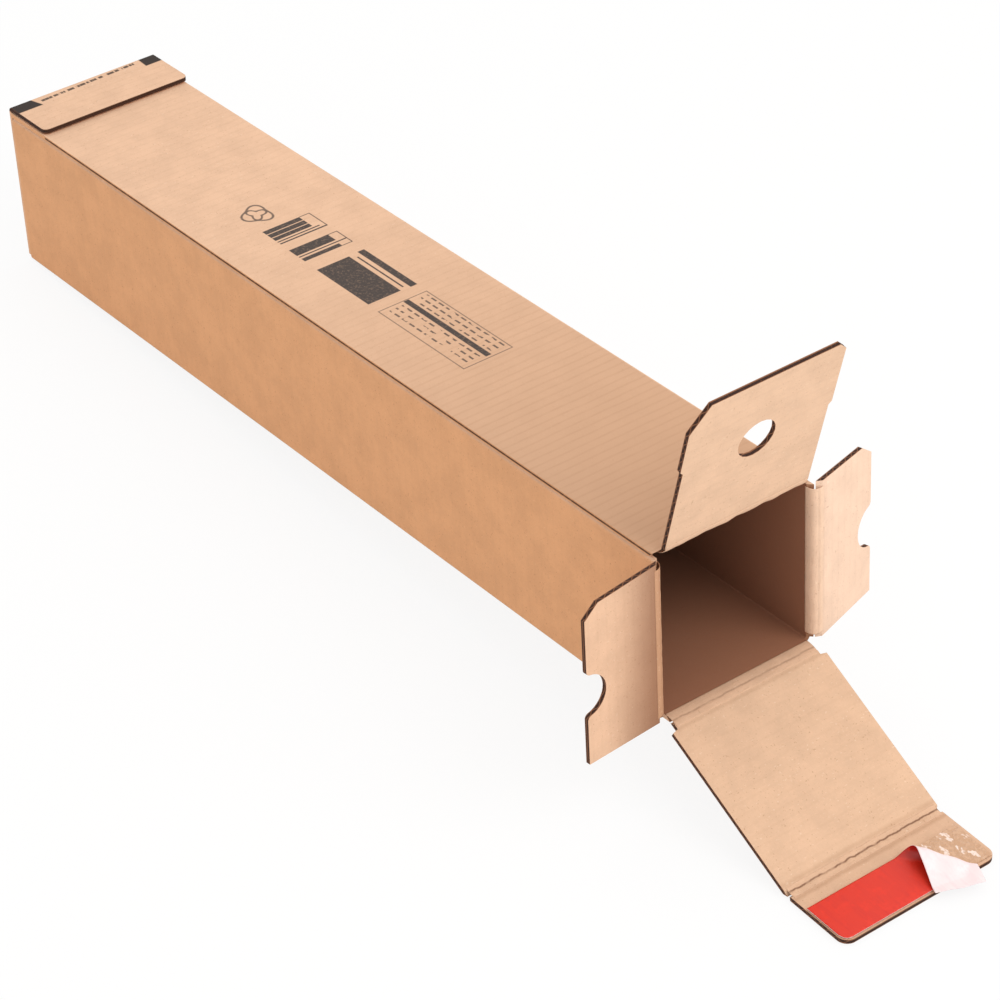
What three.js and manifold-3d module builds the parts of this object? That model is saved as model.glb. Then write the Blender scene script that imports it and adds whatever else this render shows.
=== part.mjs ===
// Long square box of corrugated board for sending rolled sheets. It lies on its side with
// its mouth open: one folded and glued tube with a closed far end, two side flaps, an inner
// flap with a pull hole, an outer flap, and a sticky tongue whose red cover strip is half
// peeled. Millimetres, +Z up. The tube's long axis runs along X, with the mouth at +X. The
// mouth end is propped up on the outer flap, so the whole tube leans back a few degrees.
import * as THREE from 'three';
import { mergeVertices } from 'three/addons/utils/BufferGeometryUtils.js';
import Module from 'manifold-3d';

// Sizes that can be set one by one.
const BOARD = 3;              // thickness of the single-wall board
const WIDTH = 114;            // outside width of the tube
const HEIGHT = 114;           // outside height of the tube
const LENGTH = 680;           // far outer face to the side flaps' creases
const BEND = 4;               // outer radius of a folded corner
const GAP = 0.3;              // air between layers that lie on each other
const AXIS_OUT = 0.2;         // how far a crease's turning line lies outside the board
const CREASE_CUT = 0.41;      // board taken away on each side of a turning line
const SLOT = 4;               // slot between neighbouring flaps, at a corner of the tube
const GLUE_TAB = 30;          // width of the glued lap under the top panel
const TONGUE_DEPTH = 48;      // sticky tongue, crease to free edge
const TONGUE_RADIUS = 7;      // round corners of the sticky tongue
const FAR_TONGUE_DEPTH = 46;  // the far tongue as it lies on the top panel
const FAR_TONGUE_RADIUS = 4;
const STICKY_WIDTH = 30;      // adhesive strip, across
const STICKY_EDGE = 2;        // board left bare beside the adhesive strip
const STICKY_THICK = 0.4;
const COVER_THICK = 0.4;      // red cover strip
const FLAP_SIDE_AIR = 0.6;    // side air of a flap that folds into the tube
const PULL_HEIGHT = 50.5;     // pull hole above the tube's bottom, when closed
const PULL_DIAMETER = 26;     // round hole in the inner flap
const NOTCH_RADIUS = 14;      // half-round notch in each side flap
const NOTCH_LEAD = 3;         // eased ends of that notch
const SHOULDER_STEP = 2;      // the inner flap is this much narrower next to its crease
const SHOULDER_AT = 63;       // and widens this far from the crease
const BIG_CHAMFER = [12, 17]; // inner flap, front corner: across and along
const SMALL_CHAMFER = 5;      // inner flap, back corner
const SIDE_CHAMFER = [8, 10]; // side flaps, upper outer corner: up and out
const SIDE_TAPER = 3;         // side flaps are this much lower at the free edge
const PEEL_BACK = 22;         // right of the middle: where the loose corner folds, back edge
const PEEL_FRONT = 42;        // and where it folds at the front edge
const CURL_BACK = 5.5;        // radius of the loose corner's curl at the back edge
const CURL_FRONT = 1.2;       // and at the front edge

// Opening angles as the box lies, from straight out of the tube; outwards is positive.
const INNER_FLAP_ANGLE = 74;
const LEFT_FLAP_ANGLE = 86;
const RIGHT_FLAP_ANGLE = 107;
const OUTER_FLAP_ANGLE = 30;

// Sizes that follow.
const LAYER = BOARD + GAP;
const STUCK_AIR = STICKY_THICK + 2 * GAP;
const HALF = WIDTH / 2;
const SIDE_CREASE = LENGTH;
const INNER_CREASE = SIDE_CREASE - LAYER;
const OUTER_CREASE = SIDE_CREASE + LAYER;
const OUTER_FLAP_DEPTH = HEIGHT + STUCK_AIR + BOARD + 2 * AXIS_OUT;
const INNER_FLAP_DEPTH = HEIGHT - BOARD + AXIS_OUT - FLAP_SIDE_AIR;
const SIDE_FLAP_DEPTH = HALF + AXIS_OUT - 1;
const PANEL_HALF = HALF - SLOT;
const rad = THREE.MathUtils.degToRad;

const wasm = await Module();
wasm.setup();

const KRAFT = { color: '#c79a6c', roughness: 0.85, metalness: 0 };
const material = (look) => new THREE.MeshStandardMaterial(look);

// A three.js geometry as a closed solid, and back.
function solid(geometry) {
  const g = geometry.clone();
  g.deleteAttribute('normal');
  g.deleteAttribute('uv');
  const merged = mergeVertices(g, 1e-5);
  return new wasm.Manifold(new wasm.Mesh({
    numProp: 3,
    vertProperties: new Float32Array(merged.attributes.position.array),
    triVerts: new Uint32Array(merged.index.array),
  }));
}

function geometryOf(body) {
  const mesh = body.getMesh();
  const g = new THREE.BufferGeometry();
  const points = mesh.vertProperties;
  g.setAttribute('position', new THREE.BufferAttribute(new Float32Array(points), mesh.numProp));
  g.setIndex(new THREE.BufferAttribute(new Uint32Array(mesh.triVerts), 1));
  g.computeVertexNormals();
  return g;
}

// Plates: an outline in one plane, given a thickness along the third axis.
// 'xy' is drawn x, y and grows up Z; 'yz' is drawn y, z and grows along X;
// 'xz' is drawn x, z and grows along -Y from +from.
function plate(shape, plane, from, depth) {
  const g = new THREE.ExtrudeGeometry(shape, { depth, bevelEnabled: false, curveSegments: 10 });
  const m = new THREE.Matrix4();
  if (plane === 'xy') m.makeTranslation(0, 0, from);
  if (plane === 'yz') {
    m.makeBasis(new THREE.Vector3(0, 1, 0), new THREE.Vector3(0, 0, 1), new THREE.Vector3(1, 0, 0));
    m.setPosition(from, 0, 0);
  }
  if (plane === 'xz') {
    m.makeBasis(new THREE.Vector3(1, 0, 0), new THREE.Vector3(0, 0, 1), new THREE.Vector3(0, -1, 0));
    m.setPosition(0, from, 0);
  }
  return solid(g.applyMatrix4(m));
}

function polygon(points) {
  return new THREE.Shape(points.map(([a, b]) => new THREE.Vector2(a, b)));
}

// Outline whose corners may be rounded: each corner is [a, b, radius].
function rounded(corners) {
  const shape = new THREE.Shape();
  const n = corners.length;
  corners.forEach(([a, b, r = 0], i) => {
    const here = new THREE.Vector2(a, b);
    const before = new THREE.Vector2(corners[(i + n - 1) % n][0], corners[(i + n - 1) % n][1]);
    const after = new THREE.Vector2(corners[(i + 1) % n][0], corners[(i + 1) % n][1]);
    const back = before.sub(here).normalize();
    const on = after.sub(here).normalize();
    if (r === 0) {
      if (i === 0) shape.moveTo(a, b); else shape.lineTo(a, b);
      return;
    }
    const half = Math.acos(THREE.MathUtils.clamp(back.dot(on), -1, 1)) / 2;
    const cut = r / Math.tan(half);
    const start = here.clone().addScaledVector(back, cut);
    const centre = here.clone().addScaledVector(back.clone().add(on).normalize(), r / Math.sin(half));
    const end = here.clone().addScaledVector(on, cut);
    const turnsLeft = back.x * on.y - back.y * on.x < 0;
    if (i === 0) shape.moveTo(start.x, start.y); else shape.lineTo(start.x, start.y);
    shape.absarc(centre.x, centre.y, r, Math.atan2(start.y - centre.y, start.x - centre.x),
      Math.atan2(end.y - centre.y, end.x - centre.x), !turnsLeft);
  });
  return shape;
}

// Outline of a strip of board folded along a path. Each point of the path is a corner of the
// outer face; the board lies to the left of the way it is walked, and every corner turns left.
function foldedStrip(path, thick, outer) {
  const dir = path.slice(1).map((p, i) => {
    const [dx, dy] = [p[0] - path[i][0], p[1] - path[i][1]];
    const size = Math.hypot(dx, dy);
    return [dx / size, dy / size];
  });
  const inside = path.map((p, i) => {
    const a = dir[Math.max(i - 1, 0)];
    const b = dir[Math.min(i, dir.length - 1)];
    const left = [[-a[1], a[0]], [-b[1], b[0]]];
    const scale = thick / (1 + left[0][0] * left[1][0] + left[0][1] * left[1][1]);
    return [p[0] + (left[0][0] + left[1][0]) * scale, p[1] + (left[0][1] + left[1][1]) * scale];
  });
  const last = path.length - 1;
  const out = path.map((p, i) => [...p, i === 0 || i === last ? 0 : outer]);
  const back = inside.map((p, i) => [...p, i === 0 || i === last ? 0 : outer - thick]).reverse();
  return rounded([...out, ...back]);
}

function box(x0, x1, y0, y1, z0, z1) {
  const g = new THREE.BoxGeometry(x1 - x0, y1 - y0, z1 - z0);
  return solid(g.translate((x0 + x1) / 2, (y0 + y1) / 2, (z0 + z1) / 2));
}

// The folded tube: bottom, right wall, top, and from the bottom's other side the left wall
// with the glued lap, which lies under the top panel. Walked with the outside on the right.
function tube() {
  const lapTop = HEIGHT - LAYER;
  const wrap = foldedStrip([
    [-HALF + GLUE_TAB, lapTop], [-HALF, lapTop], [-HALF, 0], [HALF, 0], [HALF, HEIGHT], [-HALF, HEIGHT],
  ], BOARD, BEND);
  let body = plate(wrap, 'yz', LAYER, OUTER_CREASE - LAYER);

  // Mouth: each panel ends in a 45 degree cut at its own crease, and the corners are slotted.
  const edge = (crease, outerFace, inward) => {
    const x = crease - CREASE_CUT;
    const deep = Math.max(BEND, BOARD) + 0.2;
    return [[x, outerFace - 2 * inward], [x, outerFace], [x - BOARD, outerFace + BOARD * inward],
      [x - BOARD, outerFace + deep * inward], [OUTER_CREASE + 9, outerFace + deep * inward],
      [OUTER_CREASE + 9, outerFace - 2 * inward]];
  };
  const order = (points, wanted) => (wanted ? points : [...points].reverse());
  body = body.subtract(plate(polygon(order(edge(INNER_CREASE, HEIGHT, -1), false)), 'xz', HALF + 1, WIDTH + 2));
  body = body.subtract(plate(polygon(order(edge(OUTER_CREASE, 0, 1), true)), 'xz', PANEL_HALF, 2 * PANEL_HALF));
  for (const side of [-1, 1]) {
    const wall = plate(polygon(order(edge(SIDE_CREASE, side * HALF, -side), side < 0)), 'xy', -1, HEIGHT + 2);
    body = body.subtract(wall);
    const slotEnd = SIDE_CREASE - CREASE_CUT - BOARD;
    const y = [side * PANEL_HALF, side * (HALF + 1)].sort((a, b) => a - b);
    body = body.subtract(box(slotEnd, OUTER_CREASE + 9, y[0], y[1], -1, SLOT));
  }
  // The lap is cut back at both ends, where the inner flaps fold down.
  const lapEnd = 2 * LAYER + LAYER + 4;
  body = body.subtract(box(0, lapEnd, -HALF + BOARD, -HALF + GLUE_TAB + 1, lapTop - BOARD - 1, HEIGHT - BOARD - GAP / 2));
  body = body.subtract(box(INNER_CREASE - lapEnd, OUTER_CREASE + 9, -HALF + BOARD, -HALF + GLUE_TAB + 1,
    lapTop - BOARD - 1, HEIGHT - BOARD - GAP / 2));
  // Far end: the top panel stops where its flap folds down, behind the side flaps.
  body = body.subtract(box(0, 2 * LAYER, -PANEL_HALF, PANEL_HALF, HEIGHT - BOARD - 0.2, HEIGHT + 1));
  return body;
}

// Upper and lower ends of a side flap, from the tube's bottom.
const SIDE_LOW = BOARD + 0.8;
const SIDE_HIGH = HEIGHT - 2;

// Side flap drawn flat: a runs away from the crease, b up. The notch is half of the pull hole.
function sideFlapShape(root, tip, low, high) {
  const lift = SIDE_CHAMFER[0];
  return cutNotch([[root, low], [tip, low], [tip, PULL_HEIGHT - NOTCH_RADIUS], [tip, PULL_HEIGHT + NOTCH_RADIUS],
    [tip, high - SIDE_TAPER - lift], [tip - SIDE_CHAMFER[1], high - SIDE_TAPER], [root, high]], tip);
}

// Replaces the two middle points by a half-round notch with eased ends.
function cutNotch(points, tip) {
  const shape = new THREE.Shape();
  const centre = PULL_HEIGHT;
  const ease = Math.asin(NOTCH_LEAD / (NOTCH_RADIUS + NOTCH_LEAD));
  points.forEach(([a, b], i) => {
    if (i === 0) shape.moveTo(a, b);
    else if (i === 2) {
      const run = (NOTCH_RADIUS + NOTCH_LEAD) * Math.cos(ease);
      shape.lineTo(tip, centre - run);
      shape.absarc(tip - NOTCH_LEAD, centre - run, NOTCH_LEAD, 0, Math.PI / 2 - ease, false);
      shape.absarc(tip, centre, NOTCH_RADIUS, -Math.PI / 2 - ease, Math.PI / 2 + ease, true);
      shape.absarc(tip - NOTCH_LEAD, centre + run, NOTCH_LEAD, -(Math.PI / 2 - ease), 0, false);
    } else if (i !== 3) shape.lineTo(a, b);
  });
  return shape;
}

// Inner flap drawn flat: x away from the crease, y across, with shoulders and a pull hole.
function innerFlapShape(root, tip, holeAt) {
  const wide = HALF - BOARD - FLAP_SIDE_AIR;
  const slim = wide - SHOULDER_STEP;
  const shape = polygon([[root, -slim], [SHOULDER_AT, -slim], [SHOULDER_AT + SHOULDER_STEP, -wide],
    [tip - BIG_CHAMFER[1], -wide], [tip, -wide + BIG_CHAMFER[0]], [tip, wide - SMALL_CHAMFER],
    [tip - SMALL_CHAMFER, wide], [SHOULDER_AT + SHOULDER_STEP, wide], [SHOULDER_AT, slim], [root, slim]]);
  const hole = new THREE.Path();
  hole.absarc(holeAt, 0, PULL_DIAMETER / 2, 0, 2 * Math.PI, true);
  shape.holes.push(hole);
  return shape;
}

// The closed far end, folded from the same blank: inner flap, side flaps, then the end panel
// with its tongue lying stuck on the top panel.
function farEnd() {
  const depth = HEIGHT - BOARD - FLAP_SIDE_AIR;
  const flap = innerFlapShape(1, depth, HEIGHT - PULL_HEIGHT);
  const turn = new THREE.Matrix4().makeBasis(new THREE.Vector3(0, 0, -1), new THREE.Vector3(0, 1, 0),
    new THREE.Vector3(1, 0, 0)).setPosition(2 * LAYER, 0, HEIGHT);
  const inner = new THREE.ExtrudeGeometry(flap, { depth: BOARD, bevelEnabled: false, curveSegments: 10 });
  let end = solid(inner.applyMatrix4(turn));
  for (const side of [-1, 1]) {
    const tip = HALF - 0.7;
    const g = new THREE.ExtrudeGeometry(
      sideFlapShape(1, tip, SIDE_LOW, HEIGHT - BOARD - 0.6), { depth: BOARD, bevelEnabled: false, curveSegments: 8 });
    const m = new THREE.Matrix4();
    if (side < 0) {
      m.makeBasis(new THREE.Vector3(0, 1, 0), new THREE.Vector3(0, 0, 1), new THREE.Vector3(1, 0, 0));
      m.setPosition(LAYER, -HALF, 0);
    } else {
      m.makeBasis(new THREE.Vector3(0, -1, 0), new THREE.Vector3(0, 0, 1), new THREE.Vector3(-1, 0, 0));
      m.setPosition(LAYER + BOARD, HALF, 0);
    }
    end = end.add(solid(g.applyMatrix4(m)));
  }
  const top = HEIGHT + STUCK_AIR + BOARD;
  const fold = foldedStrip([[FAR_TONGUE_DEPTH, top], [0, top], [0, 0], [3 * LAYER, 0]], BOARD, BEND);
  let cover = plate(fold, 'xz', HALF - 0.5, WIDTH - 1);
  for (const side of [-1, 1]) {
    const y = [side * PANEL_HALF, side * (HALF + 1)].sort((a, b) => a - b);
    cover = cover.subtract(box(-1, 3 * LAYER + 1, y[0], y[1], -1, SLOT));
    const r = FAR_TONGUE_RADIUS;
    const square = box(FAR_TONGUE_DEPTH - r, FAR_TONGUE_DEPTH + 1, Math.min(side * (HALF - 0.5 - r), side * HALF),
      Math.max(side * (HALF - 0.5 - r), side * HALF), top - BOARD - 0.2, top + 1);
    const round = new THREE.CylinderGeometry(r, r, BOARD + 4, 32).rotateX(Math.PI / 2)
      .translate(FAR_TONGUE_DEPTH - r, side * (HALF - 0.5 - r), top - BOARD / 2);
    cover = cover.subtract(square.subtract(solid(round)));
  }
  return end.add(cover);
}

// A hinged flap drawn flat, with its outer face AXIS_OUT under its turning line and a 45
// degree cut at the root, so that it closes against its panel and can fold right back.
function hinged(shape) {
  const flat = plate(shape, 'xy', -AXIS_OUT - BOARD, BOARD);
  const root = polygon([[-9, -AXIS_OUT - BOARD - 9], [CREASE_CUT + BOARD, -AXIS_OUT - BOARD - 9],
    [CREASE_CUT + BOARD, -AXIS_OUT - BOARD], [CREASE_CUT, -AXIS_OUT], [CREASE_CUT, -AXIS_OUT + 9],
    [-9, -AXIS_OUT + 9]]);
  return flat.subtract(plate(root, 'xz', 2 * WIDTH, 4 * WIDTH));
}

// The outer flap: cut at both ends, for its crease at the tube and for the tongue's crease.
function outerFlapSolid() {
  const wide = HALF;
  const end = OUTER_FLAP_DEPTH;
  const flap = hinged(polygon([[0, -PANEL_HALF], [SLOT + 2, -PANEL_HALF], [SLOT + 3, -wide], [end - 3, -wide],
    [end, -wide + 1.5], [end, wide - 1.5], [end - 3, wide], [SLOT + 3, wide], [SLOT + 2, PANEL_HALF], [0, PANEL_HALF]]));
  const x = end - CREASE_CUT;
  const tip = polygon([[x, -AXIS_OUT + 9], [x, -AXIS_OUT], [x - BOARD, -AXIS_OUT - BOARD],
    [x - BOARD, -AXIS_OUT - BOARD - 9], [end + 9, -AXIS_OUT - BOARD - 9], [end + 9, -AXIS_OUT + 9]]);
  return flap.subtract(plate(tip, 'xz', WIDTH, 2 * WIDTH));
}

function tongueSolid() {
  const wide = HALF - 0.5;
  const r = TONGUE_RADIUS;
  return hinged(rounded([[0, -wide + 2], [3, -wide], [TONGUE_DEPTH, -wide, r],
    [TONGUE_DEPTH, wide, r], [3, wide], [0, wide - 2]]));
}

// Adhesive strip on the inner face of the tongue, and the red cover strip over it, drawn
// with x away from the crease, y across and z up from the tongue's inner face.
const STICKY_TO = TONGUE_DEPTH - STICKY_EDGE;
const STICKY_FROM = STICKY_TO - STICKY_WIDTH;
const STICKY_HALF = HALF - 3;

// The cover strip's back right corner is peeled: it rolls round a cone along a slanted line
// and lies over the flat part, upside down. Takes a point of the flat strip, gives its place.
function peeled(x, y) {
  const back = new THREE.Vector2(STICKY_FROM, PEEL_BACK);
  const front = new THREE.Vector2(STICKY_TO, PEEL_FRONT);
  const line = front.clone().sub(back);
  const size = line.length();
  line.divideScalar(size);
  const off = new THREE.Vector2(x, y).sub(back);
  const along = THREE.MathUtils.clamp(off.dot(line), 0, size);
  const radius = CURL_BACK + (CURL_FRONT - CURL_BACK) * (along / size);
  const outward = new THREE.Vector2(-line.y, line.x);
  const past = off.dot(outward) + radius;
  if (past <= 0) return [x, y, 0];
  const turn = Math.min(past / radius, Math.PI);
  const rest = past - Math.PI * radius;
  let shift = radius * Math.sin(turn) - past;
  let rise = radius * (1 - Math.cos(turn));
  if (rest > 0) {
    shift -= rest;
    rise -= Math.min(rest * 0.3, rise - 4 * COVER_THICK);
  }
  return [x + outward.x * shift, y + outward.y * shift, rise];
}

function coverStrip() {
  const rows = 8;
  const columns = 64;
  const at = (i, j, side) => {
    const x = STICKY_FROM + STICKY_WIDTH * (j / rows);
    const y = -STICKY_HALF + 2 * STICKY_HALF * (i / columns) ** 0.75;
    const p = new THREE.Vector3(...peeled(x, y));
    const px = new THREE.Vector3(...peeled(x + 0.05, y)).sub(p);
    const py = new THREE.Vector3(...peeled(x, y + 0.05)).sub(p);
    return p.addScaledVector(px.cross(py).normalize(), side * COVER_THICK / 2);
  };
  const points = [];
  const faces = [];
  const layer = (rows + 1) * (columns + 1);
  for (const side of [1, -1]) {
    for (let i = 0; i <= columns; i += 1) {
      for (let j = 0; j <= rows; j += 1) points.push(...at(i, j, side).toArray());
    }
  }
  const id = (i, j, low) => i * (rows + 1) + j + (low ? layer : 0);
  const quad = (a, b, c, d) => faces.push(a, b, c, a, c, d);
  for (let i = 0; i < columns; i += 1) {
    for (let j = 0; j < rows; j += 1) {
      quad(id(i, j), id(i, j + 1), id(i + 1, j + 1), id(i + 1, j));
      quad(id(i, j, 1), id(i + 1, j, 1), id(i + 1, j + 1, 1), id(i, j + 1, 1));
    }
    quad(id(i, 0), id(i + 1, 0), id(i + 1, 0, 1), id(i, 0, 1));
    quad(id(i, rows), id(i, rows, 1), id(i + 1, rows, 1), id(i + 1, rows));
  }
  for (let j = 0; j < rows; j += 1) {
    quad(id(0, j), id(0, j, 1), id(0, j + 1, 1), id(0, j + 1));
    quad(id(columns, j), id(columns, j + 1), id(columns, j + 1, 1), id(columns, j, 1));
  }
  return new wasm.Manifold(new wasm.Mesh({
    numProp: 3,
    vertProperties: new Float32Array(points),
    triVerts: new Uint32Array(faces),
  }));
}

// One named mesh.
function piece(name, body, look) {
  const mesh = new THREE.Mesh(geometryOf(body), material(look));
  mesh.name = name;
  return mesh;
}

// A turning line: where it is, which way its outer side faces (a turn about X) and how far
// the flap on it is folded outwards.
function crease(x, y, z, facing, outwards) {
  const group = new THREE.Group();
  group.position.set(x, y, z);
  group.rotation.set(rad(facing), -rad(outwards), 0);
  return group;
}

const body = new THREE.Group();
body.add(piece('tube_body', tube().add(farEnd()), KRAFT));
body.add(piece('far_adhesive_strip',
  box(FAR_TONGUE_DEPTH - STICKY_EDGE - STICKY_WIDTH, FAR_TONGUE_DEPTH - STICKY_EDGE, -STICKY_HALF, STICKY_HALF,
    HEIGHT + GAP, HEIGHT + GAP + STICKY_THICK), { color: '#efe9dc', roughness: 0.35, metalness: 0 }));

const innerHinge = crease(INNER_CREASE, 0, HEIGHT + AXIS_OUT, 0, INNER_FLAP_ANGLE);
innerHinge.name = 'inner_crease';
innerHinge.add(piece('inner_flap',
  hinged(innerFlapShape(0, INNER_FLAP_DEPTH, HEIGHT + AXIS_OUT - PULL_HEIGHT)), KRAFT));
body.add(innerHinge);

// The right flap's drawing has up at -y, so it is the left one turned over.
const sideShape = (mirror) => {
  const points = sideFlapShape(0, SIDE_FLAP_DEPTH, SIDE_LOW, SIDE_HIGH).getPoints(8).map((p) => [p.x, mirror * p.y]);
  return polygon(mirror < 0 ? points.reverse() : points);
};
const leftHinge = crease(SIDE_CREASE, -HALF - AXIS_OUT, 0, 90, LEFT_FLAP_ANGLE);
leftHinge.name = 'left_crease';
leftHinge.add(piece('left_side_flap', hinged(sideShape(1)), KRAFT));
body.add(leftHinge);
const rightHinge = crease(SIDE_CREASE, HALF + AXIS_OUT, 0, -90, RIGHT_FLAP_ANGLE);
rightHinge.name = 'right_crease';
rightHinge.add(piece('right_side_flap', hinged(sideShape(-1)), KRAFT));
body.add(rightHinge);

const outerHinge = crease(OUTER_CREASE, 0, -AXIS_OUT, 180, OUTER_FLAP_ANGLE);
outerHinge.name = 'outer_crease';
outerHinge.add(piece('outer_flap', outerFlapSolid(), KRAFT));
body.add(outerHinge);

// How far the tube leans back, so that the far lower edge and the tongue both touch the
// ground: the tongue's outer face is then level with the rounded far edge's lowest point.
const open = rad(OUTER_FLAP_ANGLE);
const tongueAt = [OUTER_CREASE + OUTER_FLAP_DEPTH * Math.cos(open), -AXIS_OUT - OUTER_FLAP_DEPTH * Math.sin(open)];
const reachX = tongueAt[0] - BEND;
const dropZ = tongueAt[1] - BEND;
const lean = Math.asin((-BEND - AXIS_OUT) / Math.hypot(reachX, dropZ)) - Math.atan2(dropZ, reachX);
const tongueHinge = crease(OUTER_FLAP_DEPTH, 0, 0, 0, -(OUTER_FLAP_ANGLE - THREE.MathUtils.radToDeg(lean)));
tongueHinge.name = 'tongue_crease';
const stickyTop = -AXIS_OUT - BOARD - GAP;
tongueHinge.add(piece('closing_tongue', tongueSolid(), KRAFT));
tongueHinge.add(piece('adhesive_strip',
  box(STICKY_FROM, STICKY_TO, -STICKY_HALF, STICKY_HALF, stickyTop - STICKY_THICK, stickyTop),
  { color: '#f3ece0', roughness: 0.3, metalness: 0 }));
const cover = piece('cover_strip', coverStrip(), { color: '#e2331f', roughness: 0.35, metalness: 0 });
cover.rotation.x = Math.PI;
cover.position.z = stickyTop - STICKY_THICK - GAP - COVER_THICK / 2;
tongueHinge.add(cover);
outerHinge.add(tongueHinge);

// Leaned back, set on the ground, and centred on the origin.
body.rotation.y = -lean;
const part = new THREE.Group();
part.add(body);
part.updateMatrixWorld(true);
const bounds = new THREE.Box3().setFromObject(part, true);
body.position.set(-(bounds.min.x + bounds.max.x) / 2, -(bounds.min.y + bounds.max.y) / 2, -bounds.min.z);

export default part;
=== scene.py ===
"""Looks for a long square tube box of corrugated board with its mouth open."""

import math

import bpy
import numpy as np
from bpy.props import FloatProperty, FloatVectorProperty, PointerProperty
from mathutils import Matrix, Vector


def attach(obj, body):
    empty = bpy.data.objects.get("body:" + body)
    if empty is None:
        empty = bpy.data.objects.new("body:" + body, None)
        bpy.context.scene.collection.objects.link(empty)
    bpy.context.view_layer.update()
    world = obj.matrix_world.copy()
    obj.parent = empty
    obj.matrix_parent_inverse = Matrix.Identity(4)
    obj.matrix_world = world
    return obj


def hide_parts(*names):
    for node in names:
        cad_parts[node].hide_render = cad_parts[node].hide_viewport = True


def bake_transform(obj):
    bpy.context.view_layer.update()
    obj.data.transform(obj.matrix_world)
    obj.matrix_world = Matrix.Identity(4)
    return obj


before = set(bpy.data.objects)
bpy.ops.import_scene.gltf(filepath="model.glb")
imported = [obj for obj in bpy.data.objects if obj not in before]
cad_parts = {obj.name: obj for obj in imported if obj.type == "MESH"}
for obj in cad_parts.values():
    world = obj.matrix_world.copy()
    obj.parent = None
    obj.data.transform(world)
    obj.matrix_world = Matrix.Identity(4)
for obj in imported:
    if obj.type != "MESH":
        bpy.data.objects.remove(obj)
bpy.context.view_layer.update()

bl_info = {
    "name": "Tube box",
    "version": (1, 0, 0),
    "blender": (4, 5, 0),
    "location": "View3D > Sidebar > Tube box",
    "description": "Board, creases, glue strips and studio of a square tube box",
    "category": "Object",
}

# Sizes in millimetres, as the model has them.
BOARD = 3.0
GAP = 0.3
LAYER = BOARD + GAP
HALF = 57.0
HEIGHT = 114.0
LENGTH = 680.0
# A crease turns about a line this far outside the board, with board cut away on each side of it.
AXIS_OUT = 0.2
CREASE_CUT = 0.41
STUCK_AIR = 1.0
OUTER_FLAP = HEIGHT + STUCK_AIR + BOARD + 2 * AXIS_OUT
TONGUE_CORNER = 5.5
STICKY_FROM = 16.0
STICKY_TO = 46.0
STICKY_HALF = 54.0
GLUE = 0.4

# Sizes in millimetres of the creases' skin, the cover strip, and the board's flutes and liners.
SKIN_THICK = 0.16
SKIN_LIFT = 0.06
SKIN_REACH = CREASE_CUT + BOARD + 1.2
FILM_THICK = 0.25
FILM_LIFT = 0.2
OVER_SIDE = 2.2
OVER_FRONT = 1.2
FLUTE_PITCH = 6.6
LINER_THICK = 0.35

# The tube's lean, the middle of its far lower edge, and its three directions in the row frame.
LEAN = math.radians(4.3292445)
ORIGIN = np.array((-417.8896064, 0.6846158, -0.2491094))
ALONG = np.array((math.cos(LEAN), 0.0, math.sin(LEAN)))
ACROSS = np.array((0.0, 1.0, 0.0))
UP = np.array((-math.sin(LEAN), 0.0, math.cos(LEAN)))


class Place:
    """A right-handed set of axes: x away from a crease, z towards the outer side."""

    def __init__(self, origin, x, z):
        self.origin = np.asarray(origin, float)
        self.x = np.asarray(x, float)
        self.z = np.asarray(z, float)
        self.y = np.cross(self.z, self.x)

    def at(self, x, y, z):
        """Points in metres, in the row frame, for coordinates in millimetres."""
        x, y, z = np.broadcast_arrays(x, y, z)
        way = x[..., None] * self.x + y[..., None] * self.y + z[..., None] * self.z
        return (self.origin + way) / 1000.0


TUBE = Place(ORIGIN, ALONG, UP)


def crease_place(x, y, z, out, degrees):
    """The axes of a flap folded out by that angle about a turning line of the tube."""
    angle = math.radians(degrees)
    at = ORIGIN + x * ALONG + y * ACROSS + z * UP
    away = math.cos(angle) * ALONG + math.sin(angle) * out
    return Place(at, away, math.cos(angle) * out - math.sin(angle) * ALONG)


INNER = crease_place(LENGTH - LAYER, 0, HEIGHT + AXIS_OUT, UP, 74)
LEFT = crease_place(LENGTH, -HALF - AXIS_OUT, 0, -ACROSS, 86)
RIGHT = crease_place(LENGTH, HALF + AXIS_OUT, 0, ACROSS, 107)
OUTER = crease_place(LENGTH + LAYER, 0, -AXIS_OUT, -UP, 30)
LIP = Place(OUTER.origin + OUTER_FLAP * OUTER.x, (1.0, 0.0, 0.0), (0.0, 0.0, -1.0))
INNER_PANEL = Place(INNER.origin, ALONG, UP)
LEFT_PANEL = Place(LEFT.origin, ALONG, -ACROSS)
RIGHT_PANEL = Place(RIGHT.origin, ALONG, ACROSS)
OUTER_PANEL = Place(OUTER.origin, ALONG, -UP)
OUTER_AT_LIP = Place(LIP.origin, OUTER.x, OUTER.z)

# Eight-bit screen colours.
LINER = (222, 183, 153)
PALE_FIBRE = (250, 232, 210)
CHANNEL_SHADE = (50, 29, 22)
CUT_FLUTE = (128, 84, 58)
CUT_LINER = (150, 104, 76)
CREASE_SHADE = (128, 80, 52)
DARK_LINE = (150, 104, 70)
INK = (58, 54, 54)
CORNER_INK = (38, 35, 36)
DEEP_INSIDE_SHADE = (50, 31, 25)
MOUTH_INSIDE_SHADE = (146, 96, 71)
SEAM_SHADE = (76, 40, 20)
SCUFF = (150, 100, 66)
END_SHADE = (44, 25, 18)
UNDER_TONGUE_SHADOW = (44, 24, 18)
CRACK = (176, 128, 94)
FOLD_SHADE = (106, 68, 46)
GLUE_THIN = (196, 155, 122)
GLUE_THICK = (208, 168, 136)
GLUE_WHITE = (250, 232, 222)
FILM_RED = (214, 42, 18)
FILM_RED_CREASE = (198, 32, 24)
FILM_BACK = (238, 220, 222)
FILM_BACK_CREASE = (226, 202, 207)
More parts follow.
